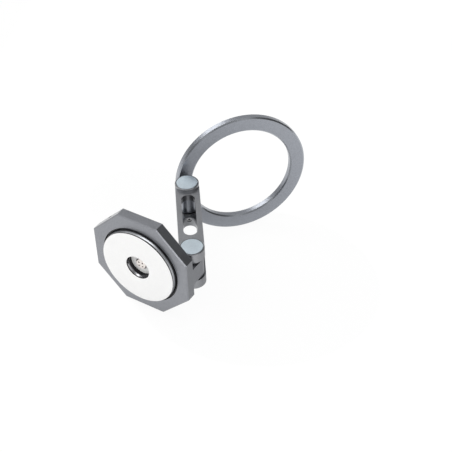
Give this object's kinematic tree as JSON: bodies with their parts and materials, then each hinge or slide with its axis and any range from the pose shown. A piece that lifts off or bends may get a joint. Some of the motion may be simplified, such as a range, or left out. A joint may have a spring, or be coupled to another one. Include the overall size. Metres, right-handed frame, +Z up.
{
  "type": "magnetic phone holder",
  "caption": "Folding magnetic phone holder: an octagonal stick-on base that swivels, a slotted link bar with a hinge at each end, and a hollow magnet ring.",
  "frame": {"origin": "middle of the bounding box in X and Y, on the table that the holder stands on", "axes": "+Z up from the table; the white adhesive face looks towards -Y and slightly down, the ring is on the +Y side; +X to the right seen from the adhesive face. The hinge axes lean 5.9 degrees from +Z towards -Y, because the holder stands on the octagon's lower edge and the ring's rim"},
  "size_m": [0.0455, 0.0961, 0.058],
  "materials": {
    "octagon_housing": "grey anodised, satin",
    "swivel_plate": "turned, satin",
    "foam_pad": "black closed-cell foam with adhesive",
    "release_liner": "white release liner",
    "recess_sleeve": "glossy black",
    "groove_gasket": "black, matte",
    "swivel_friction_ring": "low-friction plastic",
    "pivot_washer": "white nylon",
    "pivot_screw": "pale copper tone",
    "side_lock_screw": "blackened steel",
    "link_arm": "grey anodised, satin",
    "link_grub_screws": "steel",
    "base_hinge_pin": "ground steel",
    "base_hinge_bush": "brass bush",
    "base_hinge_washers": "spring steel",
    "base_hinge_cap_top": "pale blue-grey satin",
    "base_hinge_cap_bottom": "pale blue-grey satin",
    "ring_hinge_pin": "ground steel",
    "ring_hinge_bush": "brass bush",
    "ring_hinge_washers": "spring steel",
    "ring_hinge_cap_top": "pale blue-grey satin",
    "ring_hinge_cap_bottom": "pale blue-grey satin",
    "ring_body": "grey anodised, satin",
    "shunt_ring": "soft iron",
    "magnet_segments": "nickel-plated magnet",
    "phone_pad": "dark grey silicone"
  },
  "bodies": {
    "disc": {"swivel_plate": "swivel_plate", "foam_pad": "foam_pad", "release_liner": "release_liner", "recess_sleeve": "recess_sleeve"},
    "base": {"octagon_housing": "octagon_housing", "groove_gasket": "groove_gasket", "swivel_friction_ring": "swivel_friction_ring", "pivot_washer": "pivot_washer", "pivot_screw": "pivot_screw", "side_lock_screw": "side_lock_screw", "base_hinge_bush": "base_hinge_bush"},
    "link": {"link_arm": "link_arm", "link_grub_screws": "link_grub_screws", "base_hinge_pin": "base_hinge_pin", "base_hinge_washers": "base_hinge_washers", "base_hinge_cap_top": "base_hinge_cap_top", "base_hinge_cap_bottom": "base_hinge_cap_bottom", "ring_hinge_pin": "ring_hinge_pin", "ring_hinge_washers": "ring_hinge_washers", "ring_hinge_cap_top": "ring_hinge_cap_top", "ring_hinge_cap_bottom": "ring_hinge_cap_bottom"},
    "ring": {"ring_body": "ring_body", "ring_hinge_bush": "ring_hinge_bush", "shunt_ring": "shunt_ring", "magnet_segments": "magnet_segments", "phone_pad": "phone_pad"}
  },
  "joints": [
    {"name": "swivel", "type": "hinge", "parent": "disc", "child": "base", "pos_m": [-0.00068, -0.04442, 0.02184], "axis": [0, -0.9947, -0.1027], "continuous": true},
    {"name": "link_hinge", "type": "hinge", "parent": "base", "child": "link", "pos_m": [0.01687, -0.03358, 0.02296], "axis": [0, 0.1027, -0.9947], "range_deg": [-54, 56]},
    {"name": "ring_hinge", "type": "hinge", "parent": "link", "child": "ring", "pos_m": [-0.00665, -0.00139, 0.02628], "axis": [0, -0.1027, 0.9947], "range_deg": [-104, 56]}
  ]
}
